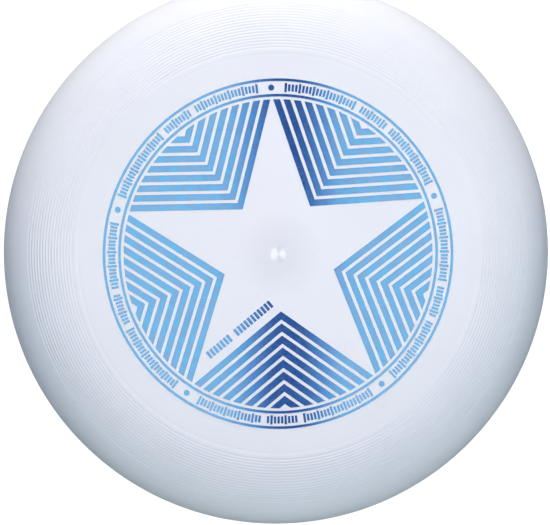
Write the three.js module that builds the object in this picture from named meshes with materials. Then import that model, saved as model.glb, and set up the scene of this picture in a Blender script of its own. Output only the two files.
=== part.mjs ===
// A flying disc for ultimate: one injection-moulded polyethylene disc, with a print of blue
// hot-stamped foil on its flat flight plate. Nothing on it moves.
//
// Units are millimetres and +Z is up. The origin is the centre of the circle that the rim rests on,
// and +Y points at one tip of the printed star.
import * as THREE from "three";

// Driving dimensions of the moulded disc.
const DISC_RADIUS = 137; // at the widest point of the rim
const WIDEST_HEIGHT = 9.5; // of that widest point above the resting plane
const PLATE_TOP = 31.8; // height of the flat flight plate
const PLATE_RADIUS = 100; // where the flat plate ends and the shoulder begins
const PLATE_THICKNESS = 2;
const SHOULDER_CENTRE = 96; // radius at which the shoulder's ellipses would lie level
const SHOULDER_WALL = 2.9; // the shoulder's wall thickness where it nears the lip
const GATE_RADIUS = 5.5; // the low round mark that the moulding gate leaves in the middle
const GATE_HEIGHT = 0.2;

// The flight rings: fine V-shaped rings moulded into the shoulder, evenly spaced along its curve.
const RING_COUNT = 16;
const RING_PITCH = 1.5;
const RING_START = 1.2; // along the curve, from the edge of the plate
const RING_DEPTH = 0.2;

// The rim's lip, which is thicker than the shoulder and has a narrow flat land that the disc rests on.
const LAND_OUTER = 133.4;
const LAND_INNER = 132;
const LIP_FILLET = 1.4; // between the land and the inner wall
const LIP_HEIGHT = 7; // where the inner wall starts to curve out to the shoulder
const LIP_DRAFT = 0.4; // how far the inner wall leans out on its way up
const LIP_BLEND_ANGLE = THREE.MathUtils.degToRad(76); // on the inner ellipse, where that curve ends

// The foil print. Its layer is drawn thicker than the few micrometres of a real transfer.
const FOIL_THICKNESS = 0.1;
const PRINT_RADIUS = 76.3; // the round edge of the star's striped panels
const LINE_WIDTH = 1.3;
const OUTER_LINE_RADIUS = 85.9; // middle of the outer border line
const INNER_LINE_RADIUS = 78.3; // middle of the inner border line
const DOT_RADIUS = 1.5; // one dot in the border at each star tip
const STAR_TIPS = 5;
const STAR_INNER_RADIUS = 28.3; // from the centre to the star's inner corners
const STAR_TIP_GAP = 1.4; // how wide a star tip still is where it meets PRINT_RADIUS
const STRIPE_WIDTH = 3.2;
const STRIPE_PITCH = 4.75;
const STRIPES_PER_PANEL = 8;

// How finely round stretches are divided.
const TURN_SEGMENTS = 64;
const LINE_SEGMENTS = 96;
const DOT_SEGMENTS = 8;
const GATE_STEPS = 3;
const FLANK_STEPS = 7;
const LIP_STEPS = 4;
const INNER_STEPS = 9;
const END_STEPS = 2;

const discPlastic = new THREE.MeshStandardMaterial({ color: 0xe6eaf7, roughness: 0.42, metalness: 0 });
const blueFoil = new THREE.MeshStandardMaterial({ color: 0x5fb0f2, roughness: 0.22, metalness: 1 });

function namedMesh(name, geometry, material) {
  const mesh = new THREE.Mesh(geometry, material);
  mesh.name = name;
  return mesh;
}

// A point moved along the curve's inward normal, which is its tangent turned clockwise.
function sunkenPoint(curve, share, depth) {
  const point = curve.getPointAt(share);
  const tangent = curve.getTangentAt(share);
  return point.add(new THREE.Vector2(tangent.y, -tangent.x).multiplyScalar(depth));
}

// The gate mark: a low spherical cap, from the axis out to the plate.
function gateProfile() {
  const capRadius = (GATE_RADIUS ** 2 + GATE_HEIGHT ** 2) / (2 * GATE_HEIGHT);
  const capCentre = PLATE_TOP + GATE_HEIGHT - capRadius;
  const capAngle = Math.asin(GATE_RADIUS / capRadius);
  const up = Math.PI / 2;
  const cap = new THREE.EllipseCurve(0, capCentre, capRadius, capRadius, up, up - capAngle, true);
  const points = cap.getPoints(GATE_STEPS);
  points[0].x = 0;
  return points;
}

// The outside of the shoulder, from the plate's edge down to the widest point: crests on an ellipse
// with the valleys of the flight rings between them, then the smooth flank of the rim.
function shoulderProfile() {
  const width = DISC_RADIUS - SHOULDER_CENTRE;
  const startAngle = Math.acos((PLATE_RADIUS - SHOULDER_CENTRE) / width);
  const height = (PLATE_TOP - WIDEST_HEIGHT) / Math.sin(startAngle);
  const curve = new THREE.EllipseCurve(SHOULDER_CENTRE, WIDEST_HEIGHT, width, height, startAngle, 0, true);
  const length = curve.getLength();
  const points = [curve.getPointAt(0)];
  for (let ring = 0; ring < RING_COUNT; ring++) {
    const along = RING_START + ring * RING_PITCH;
    points.push(curve.getPointAt(along / length));
    points.push(sunkenPoint(curve, (along + RING_PITCH / 2) / length, RING_DEPTH));
  }
  const flankStart = (RING_START + RING_COUNT * RING_PITCH) / length;
  for (let step = 0; step <= FLANK_STEPS; step++) {
    points.push(curve.getPointAt(flankStart + ((1 - flankStart) * step) / FLANK_STEPS));
  }
  return points;
}

// The rim below the widest point: round outside, the flat land, a fillet and the drafted inner wall.
function lipProfile() {
  const width = DISC_RADIUS - LAND_OUTER;
  const outside = new THREE.EllipseCurve(
    LAND_OUTER, WIDEST_HEIGHT, width, WIDEST_HEIGHT, 0, -Math.PI / 2, true);
  const fillet = new THREE.EllipseCurve(
    LAND_INNER, LIP_FILLET, LIP_FILLET, LIP_FILLET, -Math.PI / 2, -Math.PI, true);
  return [...outside.getPoints(LIP_STEPS).slice(1), ...fillet.getPoints(LIP_STEPS / 2)];
}

// The inside, from the lip's inner wall up the shoulder and in to the axis under the plate.
function innerProfile() {
  const width = DISC_RADIUS - SHOULDER_WALL - SHOULDER_CENTRE;
  const height = PLATE_TOP - PLATE_THICKNESS - WIDEST_HEIGHT;
  const angle = Math.PI / 2 - LIP_BLEND_ANGLE;
  const shoulder = new THREE.EllipseCurve(
    SHOULDER_CENTRE, WIDEST_HEIGHT, width, height, angle, Math.PI / 2, false);
  const wallTop = new THREE.Vector2(LAND_INNER - LIP_FILLET + LIP_DRAFT, LIP_HEIGHT);
  const shoulderEnd = shoulder.getPointAt(0);
  const halfRise = (shoulderEnd.y - wallTop.y) / 2;
  const reach = shoulder.getTangentAt(0).multiplyScalar(-halfRise);
  const blend = new THREE.CubicBezierCurve(
    wallTop,
    new THREE.Vector2(wallTop.x, wallTop.y + halfRise),
    shoulderEnd.clone().add(reach),
    shoulderEnd);
  const axisPoint = new THREE.Vector2(0, PLATE_TOP - PLATE_THICKNESS);
  return [...blend.getPoints(LIP_STEPS), ...shoulder.getSpacedPoints(INNER_STEPS).slice(1), axisPoint];
}

// The whole moulding: its outline turned about the Z axis.
function discBody() {
  const outline = [...gateProfile(), ...shoulderProfile(), ...lipProfile(), ...innerProfile()];
  const geometry = new THREE.LatheGeometry(outline.reverse(), TURN_SEGMENTS);
  geometry.rotateX(Math.PI / 2);
  return namedMesh("disc_body", geometry, discPlastic);
}

function foilPiece(name, shape, curveSegments) {
  const options = { depth: FOIL_THICKNESS, bevelEnabled: false, curveSegments };
  return namedMesh(name, new THREE.ExtrudeGeometry(shape, options), blueFoil);
}

// A thin round line of the border, around the whole print.
function borderLine(name, radius) {
  const line = new THREE.Shape().absarc(0, 0, radius + LINE_WIDTH / 2, 0, 2 * Math.PI);
  line.holes.push(new THREE.Path().absarc(0, 0, radius - LINE_WIDTH / 2, 0, 2 * Math.PI));
  return foilPiece(name, line, LINE_SEGMENTS);
}

function borderDot(name, angle) {
  const radius = (OUTER_LINE_RADIUS + INNER_LINE_RADIUS) / 2;
  const dot = foilPiece(name, new THREE.Shape().absarc(0, 0, DOT_RADIUS, 0, 2 * Math.PI), DOT_SEGMENTS);
  dot.position.set(radius * Math.cos(angle), radius * Math.sin(angle), 0);
  return dot;
}

// Half the angle of the V between two star arms. The V opens outwards along its panel's +X axis.
function panelHalfAngle() {
  const halfTurn = Math.PI / STAR_TIPS;
  const halfGap = STAR_TIP_GAP / 2;
  const across = STAR_INNER_RADIUS * Math.sin(halfTurn) - halfGap;
  const along = Math.sqrt(PRINT_RADIUS ** 2 - halfGap ** 2) - STAR_INNER_RADIUS * Math.cos(halfTurn);
  return halfTurn + Math.atan2(across, along);
}

// The angle at the centre where one side of a V, with its corner this far out, meets the print's edge.
function endAngle(corner, halfAngle) {
  return halfAngle - Math.asin((corner * Math.sin(halfAngle)) / PRINT_RADIUS);
}

// One V-shaped stripe, with its corner towards the centre and its ends cut round by the print's edge.
function stripeShape(stripe) {
  const halfAngle = panelHalfAngle();
  const innerCorner = STAR_INNER_RADIUS + (stripe * STRIPE_PITCH) / Math.sin(halfAngle);
  const outerCorner = innerCorner + STRIPE_WIDTH / Math.sin(halfAngle);
  const wide = endAngle(innerCorner, halfAngle);
  const narrow = endAngle(outerCorner, halfAngle);
  return new THREE.Shape()
    .absarc(0, 0, PRINT_RADIUS, -wide, -narrow)
    .lineTo(outerCorner, 0)
    .absarc(0, 0, PRINT_RADIUS, narrow, wide)
    .lineTo(innerCorner, 0);
}

function starPanel(name) {
  const panel = new THREE.Group();
  for (let stripe = 0; stripe < STRIPES_PER_PANEL; stripe++) {
    panel.add(foilPiece(`${name}_stripe_${stripe + 1}`, stripeShape(stripe), END_STEPS));
  }
  return panel;
}

// The print: two border lines, a dot at each star tip, and five striped panels that leave the star bare.
function foilPrint() {
  const print = new THREE.Group();
  print.position.z = PLATE_TOP;
  print.add(borderLine("outer_border_line", OUTER_LINE_RADIUS));
  print.add(borderLine("inner_border_line", INNER_LINE_RADIUS));
  const panelNames = ["upper_left", "lower_left", "bottom", "lower_right", "upper_right"];
  panelNames.forEach((name, index) => {
    const tipAngle = Math.PI / 2 + (index * 2 * Math.PI) / STAR_TIPS;
    print.add(borderDot(`border_dot_${index + 1}`, tipAngle));
    const panel = starPanel(name);
    panel.rotation.z = tipAngle + Math.PI / STAR_TIPS;
    print.add(panel);
  });
  return print;
}

const flyingDisc = new THREE.Group();
flyingDisc.add(discBody(), foilPrint());

export default flyingDisc;
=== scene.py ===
import math

import bpy
from mathutils import Matrix, Vector


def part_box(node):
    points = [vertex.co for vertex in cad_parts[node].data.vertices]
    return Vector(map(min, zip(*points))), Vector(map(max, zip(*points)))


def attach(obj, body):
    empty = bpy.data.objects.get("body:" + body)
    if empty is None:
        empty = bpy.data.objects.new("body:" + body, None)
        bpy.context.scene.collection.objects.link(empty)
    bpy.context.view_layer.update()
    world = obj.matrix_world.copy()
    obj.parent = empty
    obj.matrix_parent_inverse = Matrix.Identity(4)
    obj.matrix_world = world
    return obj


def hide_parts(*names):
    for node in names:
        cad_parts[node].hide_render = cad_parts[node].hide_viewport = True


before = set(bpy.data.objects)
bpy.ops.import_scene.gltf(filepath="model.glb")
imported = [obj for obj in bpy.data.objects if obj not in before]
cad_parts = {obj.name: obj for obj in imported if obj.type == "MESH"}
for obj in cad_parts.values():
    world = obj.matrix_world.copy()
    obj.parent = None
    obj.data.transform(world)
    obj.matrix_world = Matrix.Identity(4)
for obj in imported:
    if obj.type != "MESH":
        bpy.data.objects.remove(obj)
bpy.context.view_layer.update()  # a flying disc: one moulding and its foil print, on one body

MM = 0.001
BODY = "root"

# Sizes taken from the frame.
DISC_LOW, DISC_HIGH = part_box("disc_body")
DISC_RADIUS = DISC_HIGH.x
CROWN = DISC_HIGH.z  # top of the gate mark
PLATE_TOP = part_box("outer_border_line")[0].z  # the flat plate, which the foil lies on
FOIL_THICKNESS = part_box("outer_border_line")[1].z - PLATE_TOP
BORDER_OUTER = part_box("outer_border_line")[1].x
BORDER_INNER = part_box("inner_border_line")[1].x

# The moulding's section, as in the CAD model but with its fine shapes.
WIDEST_HEIGHT = 9.5 * MM
PLATE_RADIUS = 100 * MM
PLATE_MIDDLE = PLATE_RADIUS / 2  # a ring of points half way out on the flat plate, above and below
PLATE_THICKNESS = 2 * MM
UNDERSIDE = PLATE_TOP - PLATE_THICKNESS
EDGE_GROOVE_RADIUS = 98.7 * MM  # a very shallow groove round the edge of the plate
EDGE_GROOVE_WIDTH = 2.4 * MM
EDGE_GROOVE_DEPTH = 0.05 * MM
SHOULDER_CENTRE = 96 * MM
SHOULDER_WALL = 2.9 * MM
GATE_RADIUS = 5.5 * MM
LAND_OUTER = 133.4 * MM
LAND_INNER = 132 * MM
LIP_FILLET = 1.4 * MM
LIP_HEIGHT = 7 * MM
LIP_DRAFT = 0.4 * MM
LIP_BLEND_ANGLE = math.radians(76)
PARTING_WIDTH = 0.5 * MM  # the mould's parting line, a faint ridge round the widest point of the rim
PARTING_RIDGE = 0.05 * MM

# The flight rings, along the shoulder's curve.
RING_COUNT = 16
RING_PITCH = 1.5 * MM
RING_START = 1.2 * MM
RING_DEPTH = 0.15 * MM
RING_SHARPNESS = 1.5  # above 1 the valleys are narrower than the crests

# The underside's mould marks: a dimple below the gate and the faint rounds of the ejector pins.
DIMPLE_RADIUS = 6 * MM
DIMPLE_DEPTH = 0.5 * MM
PIN_COUNT = 8
PIN_CIRCLE = 72 * MM
PIN_RADIUS = 4 * MM
PIN_RELIEF = 0.15 * MM

# How finely round stretches are divided.
TURN_SEGMENTS = 320
SHOULDER_STEPS = 2000  # of the shoulder's plain curve, before the profile's points are picked from it
STEPS_PER_RING = 8
FLANK_STEPS = 26
LIP_STEPS = 18
FILLET_STEPS = 8
BLEND_STEPS = 10
INNER_STEPS = 40
GATE_STEPS = 14
GROOVE_STEPS = 10
DIMPLE_STEPS = 6
PIN_SEGMENTS = 32

# Plain bars of foil, which stand in the border in runs between the dots at the star's tips.
STAR_TIPS = 5
LINE_WIDTH = 1.3 * MM
BAR_RUNS = (19, 9, 21)
BAR_WIDTH = 1.15 * MM
BAR_HEIGHT = 3.5 * MM
TALL_BAR_HEIGHT = 4.6 * MM
TALL_BAR_EVERY = 4
BAR_PITCH = 1.75 * MM
RUN_GAP = 4.2 * MM  # from the middle of a run's last bar to the middle of the next run's first

# A second row of such bars on the bare star, along one side of the bottom panel.
ROW_MIDDLE = Vector((-20.8, -36.4)) * MM
ROW_ANGLE = math.radians(37.3)
ROW_RUNS = (7, 11)
ROW_PITCH = 2.15 * MM
ROW_GAP = 4.6 * MM
ROW_BAR_WIDTH = 1.45 * MM
ROW_BAR_HEIGHT = 4.0 * MM

WHITE = (1, 1, 1)

# The plastic's colours, with a painted highlight on the gate mark and painted shade round it.
PLASTIC_DEEP = (0.795, 0.812, 0.888)
PLASTIC_PALE = (0.812, 0.829, 0.906)
# the gate mark's whiter colour is a painted highlight
GATE_PAINTED_HIGHLIGHT = (0.872, 0.896, 0.953)
GATE_EDGE = (0.6 * GATE_RADIUS, 0.9 * GATE_RADIUS)  # where the mark's painted highlight and its gloss fade out
PAINTED_GATE_SHADE = (0.915, 0.915, 0.915)  # painted shade: what the colour is multiplied by round the gate mark
PAINTED_SHADE_EDGE = (7 * MM, 22 * MM)  # where that painted shade starts and stops fading
TOP_SIDE = PLATE_TOP - MM  # a height between the plate's top and its underside

# The plastic's finish.
PLASTIC_IOR = 1.5
PLASTIC_ROUGHNESS = (0.27, 0.35)
GATE_COAT_ROUGHNESS = 0.08
GATE_COAT_IOR = 3.1
SUBSURFACE_WEIGHT = 0.12
SUBSURFACE_RADIUS = (0.9, 1.0, 1.2)
SUBSURFACE_SCALE = 2 * MM

# The foil's colours and finish.
FOIL_DEEP = (0.183, 0.405, 0.655)
FOIL_PALE = (0.232, 0.445, 0.695)
FOIL_CYAN = (0.148, 0.475, 0.76)
FOIL_ROUGHNESS = (0.08, 0.13)

# Noises: cells in a metre, how many finer layers they have, and how strong those layers are.
PLASTIC_CLOUDS = (26, 4, 0.55)
PLASTIC_WAVES = (60, 3, 0.5)
PLASTIC_GLOSS = (420, 5, 0.6)
PLASTIC_GRAIN = (2600, 3, 0.6)
FOIL_CLOUDS = (110, 4, 0.6)
FOIL_WAVES = (240, 3, 0.55)
FOIL_TINT = (260, 2, 0.5)
FOIL_GLOSS = (600, 4, 0.6)
FOIL_WRINKLES = (900, 3, 0.6)

# The part of a noise's values that is spread over the whole change of colour or roughness.
CLOUD_RANGE = (0.35, 0.65)
FINE_RANGE = (0.3, 0.7)
TINT_RANGE = (0.45, 0.7)

# Bumps: strength and height.
PLASTIC_WAVE_BUMP = (0.3, 0.2 * MM)
PLASTIC_GRAIN_BUMP = (0.25, 0.02 * MM)
FOIL_WAVE_BUMP = (0.16, 0.03 * MM)
FOIL_WRINKLE_BUMP = (0.12, 0.02 * MM)

# The Mix node's colour sockets share their names with others, so they are known by their number.
MIX_FACTOR, MIX_A, MIX_B, MIX_RESULT = 0, 6, 7, 2

# The picture's right and up directions on the floor.
STAR_TURN = math.radians(2.5)  # how far the star is turned to the left in the picture
RIGHT = Vector((math.cos(STAR_TURN), -math.sin(STAR_TURN), 0))
UP = Vector((-RIGHT.y, RIGHT.x, 0))

# The camera stands almost straight above, a little towards the picture's upper left corner.
CAMERA_HEIGHT = 1.12  # above the rim's widest point
CAMERA_TILT = 0.0474  # its sideways distance as a share of its height
CAMERA_SIDE = Vector((-0.734, 0.679))
VIEW_WIDTH = 0.27696  # what the picture's width spans at the height of the rim
AIM_OFFSET = Vector((-0.00095, -0.00494))  # from the disc's middle to the picture's
SENSOR_WIDTH = 36  # in millimetres, as Blender's cameras have it

# Each soft box: its name, elevation and azimuth in degrees (0 = the picture's right, 90 = its top),
# distance, side, strength and colour. They all face the lit spot.
SOFT_BOXES = (
    ("overhead_box", 90, 0, 0.35, 0.2, 0.150, (1, 0.83, 0.83)),
    ("right_box", 62, 0, 0.8, 0.3, 0.500, (0.78, 0.99, 1)),
    ("left_box", 62, 180, 0.8, 0.3, 0.305, (0.75, 1, 1)),
    ("top_key", 18, 90, 0.8, 0.3, 1.42, (1, 0.905, 0.815)),
    ("top_left_box", 18, 135, 0.8, 0.3, 0.173, (0.97, 1, 1)),
    ("bottom_box", 18, 270, 0.8, 0.3, 0.300, (0.86, 1, 0.82)),
)
LIT_SPOT = (0, 0, 0.02)

# Each card: its name, the places of its left and right edge, and its colour. The cards lie side by side
# above the disc, and the foil reflects the dark gap between the two white ones.
FRINGE_COLOUR = (0.38, 0.53, 0.82)
CARDS = (
    ("left_card", -0.70, -0.007, WHITE),
    ("left_fringe", -0.007, 0.008, FRINGE_COLOUR),
    ("gap_card", 0.008, 0.047, (0.01, 0.035, 0.22)),
    ("right_fringe", 0.047, 0.060, FRINGE_COLOUR),
    ("right_card", 0.060, 0.76, WHITE),
)
CARD_HEIGHT = 0.6
CARD_LENGTH = 1.6

# The room and the floor.
ROOM_COLOUR = (0.05, 0.07, 0.12)  # the dim light from all round
WALL_COLOUR = (0.6, 0.68, 0.76)  # what reflections see of the room's walls, below the cards
WALL_TOP = (0.5, 0.65)  # sines of the elevations between which the walls fade into the room
FLOOR_HALF = 3  # metres from its middle to each side
FLOOR_GREY = (0.5, 0.5, 0.5)
FLOOR_ROUGHNESS = 0.9
FLOOR_GLOW = 0.95  # added where the camera sees the floor, which makes it white

SQUARE_CORNERS = ((-1, -1), (1, -1), (1, 1), (-1, 1))


# ---------------------------------------------------------------- geometry

def shares(steps):
    """Evenly spaced numbers from 0 to 1, at both ends of each step."""
    return [i / steps for i in range(steps + 1)]


def bell(share):
    """A smooth wave that is 0 at both ends of a stretch and 1 in its middle."""
    return 0.5 - 0.5 * math.cos(2 * math.pi * share)


def arc_points(centre, radii, start, end, steps):
    """Points on an ellipse's arc, from the angle start to the angle end."""
    angles = [start + (end - start) * share for share in shares(steps)]
    return [Vector((centre[0] + radii[0] * math.cos(a), centre[1] + radii[1] * math.sin(a)))
            for a in angles]


def bezier(a, b, c, d, steps):
    """Points on a cubic Bezier curve."""
    return [a * (1 - t) ** 3 + b * (3 * t * (1 - t) ** 2) + c * (3 * t * t * (1 - t)) + d * t ** 3
            for t in shares(steps)]


def polyline_length(points):
    return sum((b - a).length for a, b in zip(points, points[1:]))


def points_along(points, lengths):
    """Points and unit tangents at the given lengths along a polyline."""
    found = []
    walked, index = 0.0, 0
    for length in lengths:
        while index < len(points) - 2 and walked + (points[index + 1] - points[index]).length < length:
            walked += (points[index + 1] - points[index]).length
            index += 1
        step = points[index + 1] - points[index]
        found.append((points[index] + step * ((length - walked) / step.length), step.normalized()))
    return found


def gate_profile():
    """The gate mark in the middle: a low cap, steepest round its pointed tip and level at its foot."""
    height = CROWN - PLATE_TOP
    return [Vector((GATE_RADIUS * share, PLATE_TOP + height * (1 - math.sin(math.pi / 2 * share))))
            for share in shares(GATE_STEPS)]


def edge_groove_profile():
    """The shallow groove round the edge of the plate."""
    return [Vector((EDGE_GROOVE_RADIUS + EDGE_GROOVE_WIDTH * (share - 0.5),
                    PLATE_TOP - EDGE_GROOVE_DEPTH * bell(share)))
            for share in shares(GROOVE_STEPS)]


def shoulder_profile():
    """The outside of the shoulder: the flight rings and the smooth flank of the rim."""
    width = DISC_RADIUS - SHOULDER_CENTRE
    start = math.acos((PLATE_RADIUS - SHOULDER_CENTRE) / width)
    height = (PLATE_TOP - WIDEST_HEIGHT) / math.sin(start)
    curve = arc_points((SHOULDER_CENTRE, WIDEST_HEIGHT), (width, height), start, 0, SHOULDER_STEPS)
    ringed = RING_COUNT * RING_PITCH
    lengths = [RING_START + ringed * share for share in shares(RING_COUNT * STEPS_PER_RING)]
    points = [curve[0]]
    for length, (point, tangent) in zip(lengths, points_along(curve, lengths)):
        depth = RING_DEPTH * bell((length - RING_START) / RING_PITCH) ** RING_SHARPNESS
        points.append(point + Vector((tangent.y, -tangent.x)) * depth)
    flank_start = RING_START + ringed
    flank_length = polyline_length(curve) - PARTING_WIDTH / 2 - flank_start
    flank = [flank_start + flank_length * share for share in shares(FLANK_STEPS)[1:]]
    points += [point for point, _ in points_along(curve, flank)]
    return points


def lip_profile():
    """The rim below the parting line, the land that it rests on, and the fillet to the inner wall."""
    width = DISC_RADIUS - LAND_OUTER
    below_ridge = -math.asin(PARTING_WIDTH / 2 / WIDEST_HEIGHT)
    ridge = Vector((DISC_RADIUS + PARTING_RIDGE, WIDEST_HEIGHT))
    outside = arc_points((LAND_OUTER, WIDEST_HEIGHT), (width, WIDEST_HEIGHT),
                         below_ridge, -math.pi / 2, LIP_STEPS)
    fillet = arc_points((LAND_INNER, LIP_FILLET), (LIP_FILLET, LIP_FILLET),
                        -math.pi / 2, -math.pi, FILLET_STEPS)
    return [ridge] + outside + fillet


def inner_profile():
    """The inside: lip wall, shoulder, and the underside of the plate with the dimple below the gate."""
    width = DISC_RADIUS - SHOULDER_WALL - SHOULDER_CENTRE
    shoulder = arc_points((SHOULDER_CENTRE, WIDEST_HEIGHT), (width, UNDERSIDE - WIDEST_HEIGHT),
                          math.pi / 2 - LIP_BLEND_ANGLE, math.pi / 2, INNER_STEPS)
    wall_top = Vector((LAND_INNER - LIP_FILLET + LIP_DRAFT, LIP_HEIGHT))
    half_rise = (shoulder[0].y - wall_top.y) / 2
    reach = (shoulder[1] - shoulder[0]).normalized() * -half_rise
    blend = bezier(wall_top, wall_top + Vector((0, half_rise)),
                   shoulder[0] + reach, shoulder[0], BLEND_STEPS)
    dimple = [Vector((DIMPLE_RADIUS * (1 - share), UNDERSIDE + DIMPLE_DEPTH * bell(share / 2)))
              for share in shares(DIMPLE_STEPS)]
    return blend + shoulder[1:] + [Vector((PLATE_MIDDLE, UNDERSIDE))] + dimple


def scene_object(name, data):
    """A new object that shows this mesh, camera or light in the scene."""
    obj = bpy.data.objects.new(name, data)
    bpy.context.scene.collection.objects.link(obj)
    return obj


def mesh_object(name, verts, faces):
    mesh = bpy.data.meshes.new(name)
    mesh.from_pydata(verts, [], faces)
    mesh.validate()
    return scene_object(name, mesh)


def spun_shape(profile, segments):
    """Corners and faces of a closed profile that runs from the axis, down the outside and back to it."""
    verts = [(0, 0, profile[0].y)]
    for point in profile[1:-1]:
        for i in range(segments):
            angle = 2 * math.pi * i / segments
            verts.append((point.x * math.cos(angle), point.x * math.sin(angle), point.y))
    verts.append((0, 0, profile[-1].y))
    rings = len(profile) - 2
    last = len(verts) - 1
    faces = []
    for i in range(segments):
        after = (i + 1) % segments
        faces.append((0, 1 + i, 1 + after))
        for ring in range(rings - 1):
            a, b = 1 + ring * segments, 1 + (ring + 1) * segments
            faces.append((a + i, b + i, b + after, a + after))
        base = 1 + (rings - 1) * segments
        faces.append((base + i, last, base + after))
    return verts, faces


def disc_shell():
    """The whole moulding: its profile turned about the Z axis."""
    profile = gate_profile() + [Vector((PLATE_MIDDLE, PLATE_TOP))] + edge_groove_profile()
    profile += shoulder_profile() + lip_profile() + inner_profile()
    shell = mesh_object("disc_shell", *spun_shape(profile, TURN_SEGMENTS))
    shell.data.shade_smooth()
    return shell


def ejector_marks():
    """The faint raised rounds that the mould's ejector pins leave on the underside, in one ring."""
    profile = [Vector((0, UNDERSIDE + PIN_RELIEF)), Vector((PIN_RADIUS, UNDERSIDE + PIN_RELIEF)),
               Vector((PIN_RADIUS, UNDERSIDE)), Vector((PIN_RADIUS - PIN_RELIEF, UNDERSIDE - PIN_RELIEF)),
               Vector((0, UNDERSIDE - PIN_RELIEF))]
    spun_verts, spun_faces = spun_shape(profile, PIN_SEGMENTS)
    verts, faces = [], []
    for pin in range(PIN_COUNT):
        angle = 2 * math.pi * pin / PIN_COUNT
        middle = Vector((math.cos(angle), math.sin(angle), 0)) * PIN_CIRCLE
        base = len(verts)
        verts += [middle + Vector(vert) for vert in spun_verts]
        faces += [tuple(base + index for index in face) for face in spun_faces]
    return mesh_object("ejector_marks", verts, faces)


def add_box(verts, faces, middle, upright, width, height):
    """Adds one flat bar's closed box to the lists."""
    base = len(verts)
    sideways = Vector((-upright.y, upright.x))
    for z in (PLATE_TOP, PLATE_TOP + FOIL_THICKNESS):
        for s, t in SQUARE_CORNERS:
            corner = middle + upright * (s * height / 2) + sideways * (t * width / 2)
            verts.append((corner.x, corner.y, z))
    faces += [tuple(base + i for i in face) for face in
              ((3, 2, 1, 0), (4, 5, 6, 7), (0, 1, 5, 4), (1, 2, 6, 5), (2, 3, 7, 6), (3, 0, 4, 7))]


def foil_bars(name, bars):
    """One piece of flat foil bars, each given by its middle, long direction, width and height."""
    verts, faces = [], []
    for bar in bars:
        add_box(verts, faces, *bar)
    return mesh_object(name, verts, faces)


def run_places(runs, pitch, gap):
    """Where the bars of a row of runs stand along it, measured from the row's middle."""
    places = []
    along = 0.0
    for run in runs:
        places += [along + pitch * bar for bar in range(run)]
        along = places[-1] + gap
    middle = places[-1] / 2
    return [place - middle for place in places]


def border_bars():
    """Plain upright bars between the two border lines."""
    radius = (BORDER_OUTER - LINE_WIDTH + BORDER_INNER) / 2
    bars = []
    for tip in range(STAR_TIPS):
        row_middle = math.pi / 2 + 2 * math.pi * (tip + 0.5) / STAR_TIPS
        for number, place in enumerate(run_places(BAR_RUNS, BAR_PITCH, RUN_GAP)):
            angle = row_middle + place / radius
            outward = Vector((math.cos(angle), math.sin(angle)))
            height = BAR_HEIGHT if number % TALL_BAR_EVERY else TALL_BAR_HEIGHT
            bars.append((outward * radius, outward, BAR_WIDTH, height))
    return foil_bars("border_bars", bars)


def star_bars():
    """The slanted row of bars on the star."""
    along = Vector((math.cos(ROW_ANGLE), math.sin(ROW_ANGLE)))
    upright = Vector((-along.y, along.x))
    return foil_bars("star_bars", [(ROW_MIDDLE + along * place, upright, ROW_BAR_WIDTH, ROW_BAR_HEIGHT)
                                   for place in run_places(ROW_RUNS, ROW_PITCH, ROW_GAP)])


# ---------------------------------------------------------------- materials

class Nodes:
    """A short way to build the node tree of a material or of the world."""

    def __init__(self, owner):
        owner.use_nodes = True
        self.tree = owner.node_tree

    def fill(self, node, inputs):
        """Links a node's inputs to other sockets, or gives them values of their own."""
        for key, value in inputs.items():
            socket = node.inputs[key]
            if isinstance(value, bpy.types.NodeSocket):
                self.tree.links.new(value, socket)
            elif socket.type == "RGBA":
                socket.default_value = (*value, 1)
            else:
                socket.default_value = value
        return node

    def own(self, name, inputs):
        """Fills the inputs of a node that the tree already has."""
        return self.fill(self.tree.nodes[name], inputs)

    def add(self, kind, inputs=None, **settings):
        node = self.tree.nodes.new(kind)
        for key, value in settings.items():
            setattr(node, key, value)
        return self.fill(node, inputs or {})

    def coordinates(self, kind):
        return self.add("ShaderNodeTexCoord").outputs[kind]

    def light_path(self, kind):
        return self.add("ShaderNodeLightPath").outputs[kind]

    def axes(self, point):
        return self.add("ShaderNodeSeparateXYZ", {"Vector": point}).outputs

    def noise(self, scale, detail, roughness):
        inputs = {"Vector": self.coordinates("Object"), "Scale": scale, "Detail": detail,
                  "Roughness": roughness}
        return self.add("ShaderNodeTexNoise", inputs).outputs["Fac"]

    def remap(self, value, low, high, to_low=0, to_high=1):
        inputs = {"Value": value, "From Min": low, "From Max": high, "To Min": to_low, "To Max": to_high}
        return self.add("ShaderNodeMapRange", inputs).outputs["Result"]

    def math(self, operation, *values):
        return self.add("ShaderNodeMath", dict(enumerate(values)), operation=operation).outputs[0]

    def mix(self, factor, a, b, blend="MIX"):
        inputs = {MIX_FACTOR: factor, MIX_A: a, MIX_B: b}
        return self.add("ShaderNodeMix", inputs, data_type="RGBA", blend_type=blend).outputs[MIX_RESULT]

    def mix_shaders(self, factor, a, b):
        return self.add("ShaderNodeMixShader", {0: factor, 1: a, 2: b}).outputs[0]

    def bump(self, height, strength, distance, finer=None):
        """Normals for a bump, which stands on those of a finer one if that is given."""
        inputs = {"Height": height, "Strength": strength, "Distance": distance}
        if finer:
            inputs["Normal"] = finer
        return self.add("ShaderNodeBump", inputs).outputs["Normal"]


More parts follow.
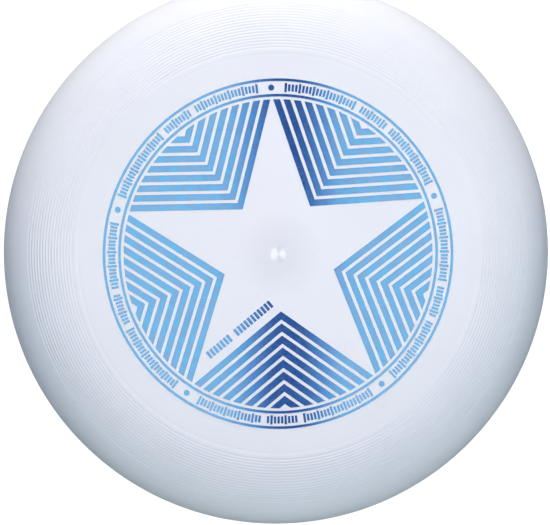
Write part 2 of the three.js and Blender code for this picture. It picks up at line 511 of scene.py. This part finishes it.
def disc_plastic():
    """White polyethylene, faintly clouded and grained, with painted shade round the gate mark and a
    painted highlight on it, where it is also glossy.
    """
    material = bpy.data.materials.new("disc_plastic")
    nodes = Nodes(material)
    place = nodes.axes(nodes.coordinates("Object"))
    squares = nodes.math("ADD", nodes.math("POWER", place["X"], 2), nodes.math("POWER", place["Y"], 2))
    off_axis = nodes.math("SQRT", squares)
    on_top = nodes.math("GREATER_THAN", place["Z"], TOP_SIDE)
    # the gate mark: its whiter colour is a painted highlight, and its coat a real gloss
    gate = nodes.math("MULTIPLY", on_top, nodes.remap(off_axis, *GATE_EDGE, 1, 0))
    # painted shade: the plate's colour is darkened round the gate mark
    painted_shade = nodes.math("MULTIPLY", on_top, nodes.remap(off_axis, *PAINTED_SHADE_EDGE, 1, 0))
    clouds = nodes.remap(nodes.noise(*PLASTIC_CLOUDS), *CLOUD_RANGE)
    base = nodes.mix(clouds, PLASTIC_DEEP, PLASTIC_PALE)
    shaded = nodes.mix(1, base, nodes.mix(painted_shade, WHITE, PAINTED_GATE_SHADE), "MULTIPLY")
    gloss = nodes.remap(nodes.noise(*PLASTIC_GLOSS), *FINE_RANGE, *PLASTIC_ROUGHNESS)
    grain = nodes.bump(nodes.noise(*PLASTIC_GRAIN), *PLASTIC_GRAIN_BUMP)
    nodes.own("Principled BSDF", {
        "Base Color": nodes.mix(gate, shaded, GATE_PAINTED_HIGHLIGHT),
        "Roughness": gloss,
        "IOR": PLASTIC_IOR,
        "Normal": nodes.bump(nodes.noise(*PLASTIC_WAVES), *PLASTIC_WAVE_BUMP, grain),
        "Coat Weight": gate,
        "Coat Roughness": GATE_COAT_ROUGHNESS,
        "Coat IOR": GATE_COAT_IOR,
        "Subsurface Weight": SUBSURFACE_WEIGHT,
        "Subsurface Radius": SUBSURFACE_RADIUS,
        "Subsurface Scale": SUBSURFACE_SCALE,
    })
    return material


def blue_foil():
    """Blue metallic transfer film, faintly clouded and finely wrinkled over the plastic's grain."""
    material = bpy.data.materials.new("blue_foil")
    nodes = Nodes(material)
    clouds = nodes.remap(nodes.noise(*FOIL_CLOUDS), *FINE_RANGE)
    tint = nodes.remap(nodes.noise(*FOIL_TINT), *TINT_RANGE)
    gloss = nodes.remap(nodes.noise(*FOIL_GLOSS), *FINE_RANGE, *FOIL_ROUGHNESS)
    wrinkles = nodes.bump(nodes.noise(*FOIL_WRINKLES), *FOIL_WRINKLE_BUMP)
    nodes.own("Principled BSDF", {
        "Base Color": nodes.mix(tint, nodes.mix(clouds, FOIL_DEEP, FOIL_PALE), FOIL_CYAN),
        "Metallic": 1,
        "Roughness": gloss,
        "Normal": nodes.bump(nodes.noise(*FOIL_WAVES), *FOIL_WAVE_BUMP, wrinkles),
    })
    return material


# ---------------------------------------------------------------- stage

def placed(right, up, height):
    """A place given by the picture's own directions."""
    return RIGHT * right + UP * up + Vector((0, 0, height))


def look_at(obj, target):
    """Turns a camera or light towards a place, with the picture's up direction upwards."""
    back = (obj.location - target).normalized()
    side = UP.cross(back).normalized()
    obj.rotation_euler = Matrix((side, back.cross(side), back)).transposed().to_euler()


def make_camera():
    """The camera, with the lens that fits VIEW_WIDTH into the picture."""
    data = bpy.data.cameras.new("camera")
    camera = scene_object("camera", data)
    aim = placed(*AIM_OFFSET, WIDEST_HEIGHT)
    camera.location = placed(*(CAMERA_SIDE * CAMERA_TILT * CAMERA_HEIGHT), WIDEST_HEIGHT + CAMERA_HEIGHT)
    look_at(camera, aim)
    data.sensor_width = SENSOR_WIDTH
    data.lens = SENSOR_WIDTH * (camera.location - aim).length / VIEW_WIDTH
    bpy.context.scene.camera = camera


def area_light(name, place, target, size, power, colour, seen_by):
    """A rectangular light that only diffuse surfaces or only reflections see."""
    data = bpy.data.lights.new(name, "AREA")
    data.shape = "RECTANGLE"
    data.size, data.size_y = size
    data.energy = power
    data.color = colour
    light = scene_object(name, data)
    light.location = placed(*place)
    look_at(light, placed(*target))
    light.visible_camera = False
    light.visible_diffuse = seen_by == "diffuse"
    light.visible_glossy = seen_by == "glossy"
    light.visible_transmission = False


def make_lights():
    """Soft boxes that shade the plastic, and cards above the disc that only reflections see."""
    for name, elevation, azimuth, distance, side, strength, colour in SOFT_BOXES:
        rise, turn = math.radians(elevation), math.radians(azimuth)
        reach = distance * math.cos(rise)
        place = (reach * math.cos(turn), reach * math.sin(turn), distance * math.sin(rise))
        area_light(name, place, LIT_SPOT, (side, side), math.pi * strength, colour, "diffuse")
    for name, left, right, colour in CARDS:
        middle, width = (left + right) / 2, right - left
        power = math.pi * width * CARD_LENGTH  # which makes a card as bright as its colour
        area_light(name, (middle, 0, CARD_HEIGHT), (middle, 0, 0), (width, CARD_LENGTH), power, colour,
                   "glossy")


def make_world():
    """A dim room, with brighter walls for low reflections, which the camera itself sees as white."""
    world = bpy.data.worlds.new("studio")
    bpy.context.scene.world = world
    nodes = Nodes(world)
    height = nodes.axes(nodes.coordinates("Generated"))["Z"]
    walls = nodes.math("MULTIPLY", nodes.light_path("Is Glossy Ray"), nodes.remap(height, *WALL_TOP, 1, 0))
    shown = nodes.own("Background", {"Color": ROOM_COLOUR}).outputs[0]
    for share, colour in ((walls, WALL_COLOUR), (nodes.light_path("Is Camera Ray"), WHITE)):
        other = nodes.add("ShaderNodeBackground", {"Color": colour}).outputs[0]
        shown = nodes.mix_shaders(share, shown, other)
    nodes.own("World Output", {"Surface": shown})


def make_floor():
    """A grey floor under the disc, which the camera itself sees as white."""
    corners = [(s * FLOOR_HALF, t * FLOOR_HALF, 0) for s, t in SQUARE_CORNERS]
    floor = mesh_object("floor", corners, [(0, 1, 2, 3)])
    floor.location.z = DISC_LOW.z
    material = bpy.data.materials.new("floor")
    nodes = Nodes(material)
    finish = {"Base Color": FLOOR_GREY, "Roughness": FLOOR_ROUGHNESS}
    grey = nodes.own("Principled BSDF", finish).outputs[0]
    glow = nodes.add("ShaderNodeEmission", {"Color": WHITE, "Strength": FLOOR_GLOW}).outputs[0]
    glowing = nodes.add("ShaderNodeAddShader", {0: grey, 1: glow}).outputs[0]
    shown = nodes.mix_shaders(nodes.light_path("Is Camera Ray"), grey, glowing)
    nodes.own("Material Output", {"Surface": shown})
    floor.data.materials.append(material)


# ---------------------------------------------------------------- assembly

plastic = disc_plastic()
foil = blue_foil()

shell = disc_shell()
shell.data.materials.append(plastic)
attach(shell, BODY)
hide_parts("disc_body")

marks = ejector_marks()
marks.data.materials.append(plastic)
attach(marks, BODY)

for bars in (border_bars(), star_bars()):
    bars.data.materials.append(foil)
    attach(bars, BODY)

# The foil pieces of the CAD model keep their shape and take the foil's material.
for name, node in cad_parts.items():
    if name != "disc_body":
        node.data.materials.clear()
        node.data.materials.append(foil)

make_camera()
make_lights()
make_world()
make_floor()
bpy.context.scene.view_settings.view_transform = "Standard"
